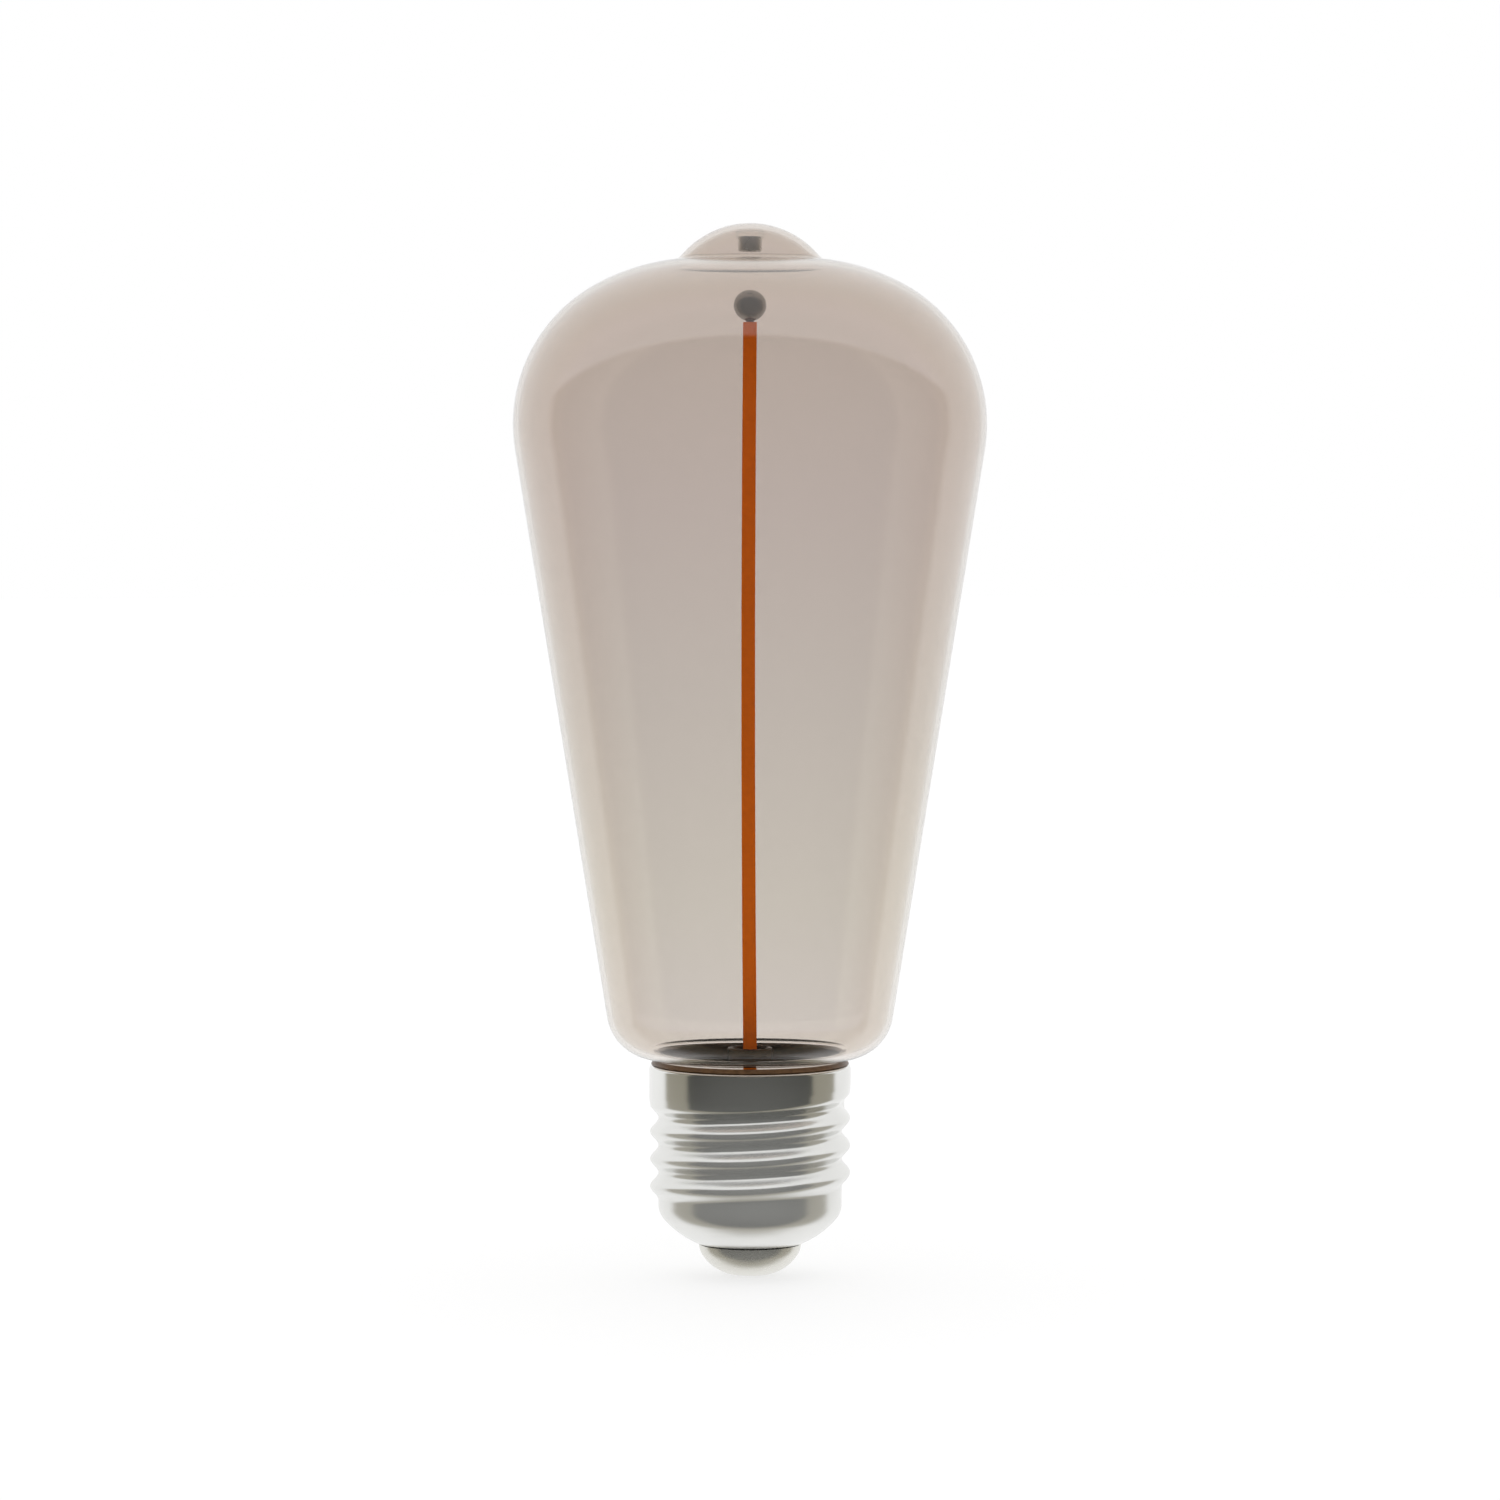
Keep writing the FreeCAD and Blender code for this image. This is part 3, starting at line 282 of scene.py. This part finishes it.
def object_noise(nodes, links, scale, stretch=(1, 1, 1)):
    """Noise fixed to the object, in features per metre."""
    place = nodes.new("ShaderNodeTexCoord")
    mapping = nodes.new("ShaderNodeMapping")
    mapping.inputs["Scale"].default_value = stretch
    noise = nodes.new("ShaderNodeTexNoise")
    noise.inputs["Scale"].default_value = scale
    noise.inputs["Detail"].default_value = 3.0
    links.new(place.outputs["Object"], mapping.inputs["Vector"])
    links.new(mapping.outputs["Vector"], noise.inputs["Vector"])
    return noise


def ramp(nodes, links, source, stops):
    """Colour ramp from (position, colour) stops."""
    node = nodes.new("ShaderNodeValToRGB")
    elements = node.color_ramp.elements
    while len(elements) < len(stops):
        elements.new(0.5)
    for element, (position, colour) in zip(elements, stops):
        element.position = position
        element.color = (*colour, 1.0)
    links.new(source, node.inputs["Fac"])
    return node


def grey(value):
    return (value, value, value)


def add_bump(nodes, links, shader, source, strength, distance):
    bump = nodes.new("ShaderNodeBump")
    bump.inputs["Strength"].default_value = strength
    bump.inputs["Distance"].default_value = distance
    links.new(source, bump.inputs["Height"])
    links.new(bump.outputs["Normal"], shader.inputs["Normal"])


def surface_material(name, dark, light, rough, scale, metallic=0.0, bump=0.1,
                     stretch=(1, 1, 1), specular=0.5):
    """Opaque surface whose colour and roughness drift between two values."""
    material, nodes, links, shader = new_material(name)
    noise = object_noise(nodes, links, scale, stretch=stretch)
    tint = ramp(nodes, links, noise.outputs["Fac"], [(0.3, dark), (0.7, light)])
    links.new(tint.outputs["Color"], shader.inputs["Base Color"])
    gloss = ramp(nodes, links, noise.outputs["Fac"], [(0.3, grey(rough[0])), (0.7, grey(rough[1]))])
    links.new(gloss.outputs["Color"], shader.inputs["Roughness"])
    shader.inputs["Metallic"].default_value = metallic
    shader.inputs["IOR"].default_value = REFRACTIVE_INDEX
    shader.inputs["Specular IOR Level"].default_value = specular
    add_bump(nodes, links, shader, noise.outputs["Fac"], bump, SURFACE_BUMP)
    return material


def by_height(nodes, links, stops):
    """Colour ramp over an object's height, from (millimetres, colour) stops."""
    low, high = stops[0][0], stops[-1][0]
    place = nodes.new("ShaderNodeTexCoord")
    split = nodes.new("ShaderNodeSeparateXYZ")
    links.new(place.outputs["Object"], split.inputs["Vector"])
    height = nodes.new("ShaderNodeMapRange")
    height.inputs["From Min"].default_value = low * MM
    height.inputs["From Max"].default_value = high * MM
    links.new(split.outputs["Z"], height.inputs["Value"])
    return ramp(nodes, links, height.outputs["Result"], [
        ((z - low) / (high - low), colour) for z, colour in stops])


def mixed(nodes, links, kind, factor, first, second):
    """Blend two colours, by a number or another node's value."""
    mix = nodes.new("ShaderNodeMix")
    mix.data_type = "RGBA"
    mix.blend_type = kind
    for name, value in (("Factor", factor), ("A", first), ("B", second)):
        socket = mix.inputs[name]
        if isinstance(value, (int, float)):
            socket.default_value = value
        elif isinstance(value, tuple):
            socket.default_value = (*value, 1.0)
        else:
            links.new(value, socket)
    return mix.outputs["Result"]


def plated_material(name, colour, stops):
    """Plated sheet metal from (millimetres, roughness, metallic) stops, faintly smeared."""
    material, nodes, links, shader = new_material(name)
    noise = object_noise(nodes, links, 700, stretch=(1, 1, 4))
    smear = object_noise(nodes, links, 120)
    tint = ramp(nodes, links, smear.outputs["Fac"], [
        (0.3, tuple(value * 0.94 for value in colour)), (0.7, colour)]).outputs["Color"]
    links.new(tint, shader.inputs["Base Color"])
    rough = by_height(nodes, links, [(z, grey(value)) for z, value, _ in stops])
    grain = ramp(nodes, links, noise.outputs["Fac"], [(0.3, grey(0.9)), (0.7, grey(1.1))])
    links.new(mixed(nodes, links, "MULTIPLY", 1.0, rough.outputs["Color"], grain.outputs["Color"]),
              shader.inputs["Roughness"])
    metal = by_height(nodes, links, [(z, grey(value)) for z, _, value in stops])
    links.new(metal.outputs["Color"], shader.inputs["Metallic"])
    add_bump(nodes, links, shader, noise.outputs["Fac"], 0.01, PLATING_BUMP)
    return material


def make_glassy(shader):
    """Smooth, and all the light that isn't mirrored goes through."""
    shader.inputs["Transmission Weight"].default_value = 1.0
    shader.inputs["Roughness"].default_value = 0.0
    shader.inputs["IOR"].default_value = REFRACTIVE_INDEX


def clear_glass_material():
    material, _, _, shader = new_material("clear_glass_look")
    shader.inputs["Base Color"].default_value = (0.97, 0.97, 0.96, 1.0)
    make_glassy(shader)
    return material


def smoky_glass_material():
    """Tinted glass that grows paler from the crown down to the neck."""
    material, nodes, links, shader = new_material("smoky_glass_look")
    tint = by_height(nodes, links, [
        (28.0, (0.84, 0.80, 0.77)),
        (50.0, (0.803, 0.768, 0.722)),
        (76.0, (0.766, 0.724, 0.686)),
        (102.0, (0.740, 0.684, 0.651)),
        (122.0, (0.725, 0.664, 0.622)),
        (138.0, (0.715, 0.655, 0.61)),
    ])
    # light has further to go through the wall near the outline
    weight = nodes.new("ShaderNodeLayerWeight")
    weight.inputs["Blend"].default_value = 0.5
    slant = ramp(nodes, links, weight.outputs["Facing"], [
        (0.25, grey(1.0)),
        (0.40, (0.98, 0.96, 0.955)),
        (0.5, (0.94, 0.913, 0.87)),
        (1.0, (0.93, 0.91, 0.85)),
    ])
    links.new(mixed(nodes, links, "MULTIPLY", 1.0, tint.outputs["Color"], slant.outputs["Color"]),
              shader.inputs["Base Color"])
    make_glassy(shader)
    return material


def dress(node, material):
    """Give a CAD node a better material without touching its mesh."""
    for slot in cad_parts[node].material_slots:
        slot.link = "OBJECT"
        slot.material = material


smoky = smoky_glass_material()
clear = clear_glass_material()
chrome = plated_material("cap_chrome_look", (0.80, 0.80, 0.78), [
    (4.0, 0.24, 0.86), (10.0, 0.24, 0.80), (20.0, 0.22, 0.84), (24.0, 0.17, 0.97), (28.0, 0.15, 1.0)])
contact_metal = plated_material("contact_metal_look", (0.78, 0.77, 0.72), [
    (0.0, 0.3, 0.8), (2.6, 0.28, 0.8), (4.1, 0.26, 0.85)])
steel = surface_material(
    "dark_steel_look", (0.25, 0.22, 0.19), (0.30, 0.27, 0.24), (0.14, 0.2), 500, metallic=0.8,
    bump=0.02)
nickel = surface_material(
    "nickel_look", (0.56, 0.53, 0.48), (0.62, 0.59, 0.54), (0.24, 0.3), 600, metallic=0.85, bump=0.02)
phosphor = surface_material(
    "phosphor_look", (0.93, 0.185, 0.0005), (1.0, 0.2, 0.001), (0.5, 0.6), 1400, bump=0.15,
    specular=0.0)
strip = surface_material("strip_look", (0.40, 0.17, 0.04), (0.5, 0.22, 0.06), (0.35, 0.5), 1200)
sapphire = surface_material("chip_look", (0.5, 0.55, 0.58), (0.6, 0.65, 0.68), (0.15, 0.25), 2500)
black = surface_material("insulator_look", grey(0.012), grey(0.022), (0.22, 0.34), 1500)
cement = surface_material(
    "cement_look", (0.12, 0.062, 0.028), (0.20, 0.11, 0.05), (0.3, 0.42), 1600, bump=0.2)
sleeve = surface_material("sleeve_look", grey(0.02), grey(0.035), (0.4, 0.55), 1500)
board = surface_material("board_look", (0.02, 0.12, 0.045), (0.035, 0.18, 0.07), (0.25, 0.4), 900)
can = surface_material("can_look", grey(0.55), grey(0.68), (0.25, 0.35), 1400, metallic=1.0,
                       stretch=(1, 1, 0.1))
ferrite = surface_material("ferrite_look", grey(0.035), grey(0.06), (0.55, 0.75), 2500, bump=0.4)
package = surface_material("package_look", grey(0.015), grey(0.028), (0.45, 0.6), 3000, bump=0.3)
lacquer = surface_material("lacquer_look", (0.07, 0.16, 0.28), (0.1, 0.22, 0.36), (0.2, 0.3), 1500)
shield = surface_material("shield_look", grey(0.58), grey(0.68), (0.28, 0.4), 1800, metallic=1.0)
red_wire = surface_material("red_wire_look", (0.35, 0.012, 0.012), (0.45, 0.025, 0.02), (0.35, 0.5), 1500)
black_wire = surface_material("black_wire_look", grey(0.015), grey(0.03), (0.35, 0.5), 1500)
# painted shade: the clear glass stem is given an opaque dark brown. This is the brown cement seen through
# it, darkened as painted shade of the enclosed neck and warmed as a painted reflection of the orange
# filament.
stem_painted_shade = surface_material(
    "stem_painted_shade_look", (0.055, 0.024, 0.006), (0.09, 0.042, 0.012), (0.25, 0.35), 700, specular=0.12)

LOOKS = {
    "glass_envelope": smoky,
    "glass_stem": stem_painted_shade,
    "exhaust_tube": clear,
    "lead_wire_left": nickel,
    "lead_wire_right": nickel,
    "magnet": nickel,
    "magnet_adhesive": clear,
    "filament_strip": strip,
    "led_chips": sapphire,
    "phosphor_front": phosphor,
    "phosphor_back": phosphor,
    "foot_terminal_left": nickel,
    "foot_terminal_right": nickel,
    "top_tab": nickel,
    "filament_ball": steel,
    "cap_shell": chrome,
    "cap_insulator": black,
    "centre_contact": contact_metal,
    "basing_cement": cement,
    "insulating_sleeve": sleeve,
    "driver_board": board,
    "filter_capacitor": can,
    "inductor": ferrite,
    "driver_ic": package,
    "bridge_rectifier": package,
    "fusible_resistor": lacquer,
    "radio_module": board,
    "radio_shield": shield,
    "live_wire": red_wire,
    "neutral_wire": black_wire,
}
for node_name, look in LOOKS.items():
    dress(node_name, look)
stand_in(fine_glass(), "glass_envelope")
stand_in(fine_cap_shell(), "cap_shell")
stand_in(fine_contact(), "centre_contact")


# ---------------------------------------------------------------- studio

# the mirrored lights: how far each leans away, where it begins, half the width of its soft edge
OVERHEAD_LEAN, OVERHEAD_START, OVERHEAD_EDGE = 0.9, 0.56, 0.03
TABLE_LEAN, TABLE_START, TABLE_EDGE = 0.4, 0.54, 0.14
FLOOR_R = 3.0
CAMERA_DISTANCE, VIEW_WIDTH = 0.77, 0.19737
CAMERA_LIFT, CAMERA_AIM_Z = math.radians(3.2), 69.4 * MM


def studio_world():
    """White tent; mirrors see a dark room in front, warm walls beside, light above and behind."""
    world = bpy.data.worlds.new("studio")
    bpy.context.scene.world = world
    world.use_nodes = True
    nodes, links = world.node_tree.nodes, world.node_tree.links
    nodes.clear()

    def maths(operation, first, second):
        """A sum on numbers or other nodes' values."""
        node = nodes.new("ShaderNodeMath")
        node.operation = operation
        for socket, value in zip(node.inputs, (first, second)):
            if isinstance(value, (int, float)):
                socket.default_value = value
            else:
                links.new(value, socket)
        return node.outputs["Value"]

    output = nodes.new("ShaderNodeOutputWorld")
    plain = nodes.new("ShaderNodeBackground")
    plain.inputs["Color"].default_value = (1, 1, 1, 1)
    mirrored = nodes.new("ShaderNodeBackground")
    place = nodes.new("ShaderNodeTexCoord")
    split = nodes.new("ShaderNodeSeparateXYZ")
    links.new(place.outputs["Generated"], split.inputs["Vector"])
    away, up = split.outputs["Y"], split.outputs["Z"]
    walls = ramp(nodes, links, maths("MULTIPLY", maths("ADD", away, 1.0), 0.5), [
        (0.0, (0.105, 0.105, 0.098)),
        (0.37, (0.075, 0.075, 0.068)),
        (0.395, (0.33, 0.31, 0.25)),
        (0.67, (0.36, 0.34, 0.28)),
        (0.72, (1.0, 1.0, 1.0)),
    ])
    overhead = maths("ADD", up, maths("MULTIPLY", away, OVERHEAD_LEAN))
    ceiling = ramp(nodes, links, overhead, [
        (OVERHEAD_START - OVERHEAD_EDGE, grey(0.0)),
        (OVERHEAD_START + OVERHEAD_EDGE, grey(1.0)),
    ])
    underneath = maths("SUBTRACT", away, maths("MULTIPLY", up, TABLE_LEAN))
    table = ramp(nodes, links, underneath, [
        (TABLE_START - TABLE_EDGE, grey(0.0)),
        (TABLE_START + TABLE_EDGE, grey(1.0)),
    ])
    bright = maths("MAXIMUM", ceiling.outputs["Color"], table.outputs["Color"])
    links.new(mixed(nodes, links, "MIX", bright, walls.outputs["Color"], grey(1.0)),
              mirrored.inputs["Color"])
    # anything that a mirror or a glass face has thrown back sees the room, not the tent
    path = nodes.new("ShaderNodeLightPath")
    thrown_back = maths("GREATER_THAN", path.outputs["Glossy Depth"], 0.5)
    mix = nodes.new("ShaderNodeMixShader")
    links.new(thrown_back, mix.inputs["Fac"])
    links.new(plain.outputs["Background"], mix.inputs[1])
    links.new(mirrored.outputs["Background"], mix.inputs[2])
    links.new(mix.outputs["Shader"], output.inputs["Surface"])


def pale_floor():
    """Partly self-lit ground under the lamp, which mirrors and glass don't see."""
    bpy.ops.mesh.primitive_circle_add(
        vertices=96, radius=FLOOR_R, fill_type="NGON", location=(0, 0, 0))
    floor = bpy.context.active_object
    floor.name = "floor"
    material, nodes, links, shader = new_material("floor_look")
    shader.inputs["Base Color"].default_value = (0.3, 0.3, 0.3, 1)
    shader.inputs["Roughness"].default_value = 0.9
    shader.inputs["Emission Color"].default_value = (1, 1, 1, 1)
    shader.inputs["Emission Strength"].default_value = 0.7
    floor.data.materials.append(material)
    floor.visible_glossy = False
    floor.visible_transmission = False


def collar_card():
    """White card round the bulb that only mirrors below it see; light from above passes it."""
    inner, outer, height = 29 * MM, 76 * MM, 75 * MM
    mesh = bpy.data.meshes.new("collar_card")
    points, faces = [], []
    for index in range(SEGMENTS):
        angle = math.tau * index / SEGMENTS
        for radius in (inner, outer):
            points.append((radius * math.cos(angle), radius * math.sin(angle), height))
        after = (index + 1) % SEGMENTS
        faces.append((index * 2, after * 2, after * 2 + 1, index * 2 + 1))
    mesh.from_pydata(points, [], faces)
    card = bpy.data.objects.new("collar_card", mesh)
    bpy.context.scene.collection.objects.link(card)
    material = bpy.data.materials.new("card_look")
    material.use_nodes = True
    nodes, links = material.node_tree.nodes, material.node_tree.links
    nodes.clear()
    side = nodes.new("ShaderNodeNewGeometry")
    glow, clear_side = nodes.new("ShaderNodeEmission"), nodes.new("ShaderNodeBsdfTransparent")
    mix, output = nodes.new("ShaderNodeMixShader"), nodes.new("ShaderNodeOutputMaterial")
    links.new(side.outputs["Backfacing"], mix.inputs["Fac"])
    links.new(glow.outputs["Emission"], mix.inputs[1])
    links.new(clear_side.outputs["BSDF"], mix.inputs[2])
    links.new(mix.outputs["Shader"], output.inputs["Surface"])
    mesh.materials.append(material)
    for kind in ("camera", "diffuse", "transmission", "shadow", "volume_scatter"):
        setattr(card, f"visible_{kind}", False)


def front_camera():
    """Long lens in front of the lamp, a little above its middle and tilted down to it."""
    data = bpy.data.cameras.new("camera")
    camera = bpy.data.objects.new("camera", data)
    bpy.context.scene.collection.objects.link(camera)
    aim = Vector((0, 0, CAMERA_AIM_Z))
    back = Vector((0, -math.cos(CAMERA_LIFT), math.sin(CAMERA_LIFT)))
    camera.location = aim + back * CAMERA_DISTANCE
    camera.rotation_mode = "QUATERNION"
    camera.rotation_quaternion = (-back).to_track_quat("-Z", "Y")
    data.sensor_width = 36.0
    data.lens = data.sensor_width * CAMERA_DISTANCE / VIEW_WIDTH
    data.clip_start = 0.01
    data.clip_end = 20.0
    bpy.context.scene.camera = camera


studio_world()
pale_floor()
collar_card()
front_camera()
bpy.context.scene.view_settings.view_transform = "Standard"
